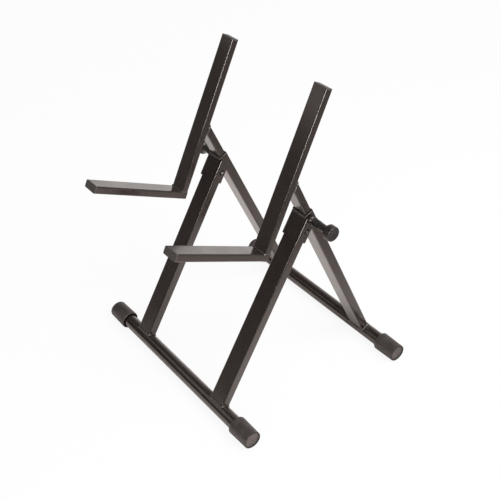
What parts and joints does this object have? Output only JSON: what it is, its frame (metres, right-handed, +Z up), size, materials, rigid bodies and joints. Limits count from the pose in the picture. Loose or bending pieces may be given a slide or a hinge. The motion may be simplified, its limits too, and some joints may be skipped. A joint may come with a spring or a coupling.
{
  "type": "folding amp stand",
  "caption": "Low folding floor stand that tilts an amplifier back: hinged front and rear tube frames, and two height-adjustable L-shaped cradles locked by sprung pull pins.",
  "frame": {"origin": "On the floor, under the middle of the stand's width and of its whole depth, from the front of the arms to the back of the rear end caps.", "axes": "+X is the stand's right, -Y its front, where the arms point, and +Z is up."},
  "size_m": [0.379, 0.377, 0.4936],
  "materials": {
    "frame_coat": "satin black powder coat",
    "fastener_coat": "satin black",
    "housing_coat": "black oxide, threaded",
    "bright_steel": "zinc plated",
    "end_cap": "matt",
    "tube_plug": "matt moulded",
    "knob": "satin moulded"
  },
  "bodies": {
    "rear_frame": {"rear_cross_tube": "frame_coat", "rear_leg_left": "frame_coat", "rear_leg_right": "frame_coat", "bracket_left": "frame_coat", "bracket_right": "frame_coat", "rear_cap_left": "end_cap", "rear_cap_right": "end_cap", "pivot_barrel_left": "fastener_coat", "pivot_barrel_right": "fastener_coat", "pivot_screw_left": "fastener_coat", "pivot_screw_right": "fastener_coat", "pin_ring_left": "bright_steel", "pin_ring_right": "bright_steel", "pin_housing_left": "housing_coat", "pin_housing_right": "housing_coat", "pin_spring_left": "bright_steel", "pin_spring_right": "bright_steel"},
    "front_frame": {"front_cross_tube": "frame_coat", "front_leg_left": "frame_coat", "front_leg_right": "frame_coat", "front_cap_left": "end_cap", "front_cap_right": "end_cap"},
    "cradle_left": {"strut_left": "frame_coat", "backrest_left": "frame_coat", "arm_left": "frame_coat", "backrest_plug_left": "tube_plug", "arm_plug_left": "tube_plug"},
    "pin_left": {"plunger_left": "bright_steel", "knob_left": "knob"},
    "cradle_right": {"strut_right": "frame_coat", "backrest_right": "frame_coat", "arm_right": "frame_coat", "backrest_plug_right": "tube_plug", "arm_plug_right": "tube_plug"},
    "pin_right": {"plunger_right": "bright_steel", "knob_right": "knob"}
  },
  "joints": [
    {"name": "fold", "type": "hinge", "parent": "rear_frame", "child": "front_frame", "pos_m": [0, 0.03025, 0.28129], "axis": [1, 0, 0], "range_deg": [0, 52.5]},
    {"name": "cradle_left_slide", "type": "slide", "parent": "rear_frame", "child": "cradle_left", "axis": [0, -0.4226, 0.9063], "range_m": [0, 0.09]},
    {"name": "cradle_right_slide", "type": "slide", "parent": "rear_frame", "child": "cradle_right", "axis": [0, -0.4226, 0.9063], "range_m": [0, 0.09]},
    {"name": "pin_left_pull", "type": "slide", "parent": "rear_frame", "child": "pin_left", "axis": [-1, 0, 0], "range_m": [0, 0.006], "stiffness_N_per_m": 500, "springref_m": -0.012},
    {"name": "pin_right_pull", "type": "slide", "parent": "rear_frame", "child": "pin_right", "axis": [1, 0, 0], "range_m": [0, 0.006], "stiffness_N_per_m": 500, "springref_m": -0.012}
  ]
}
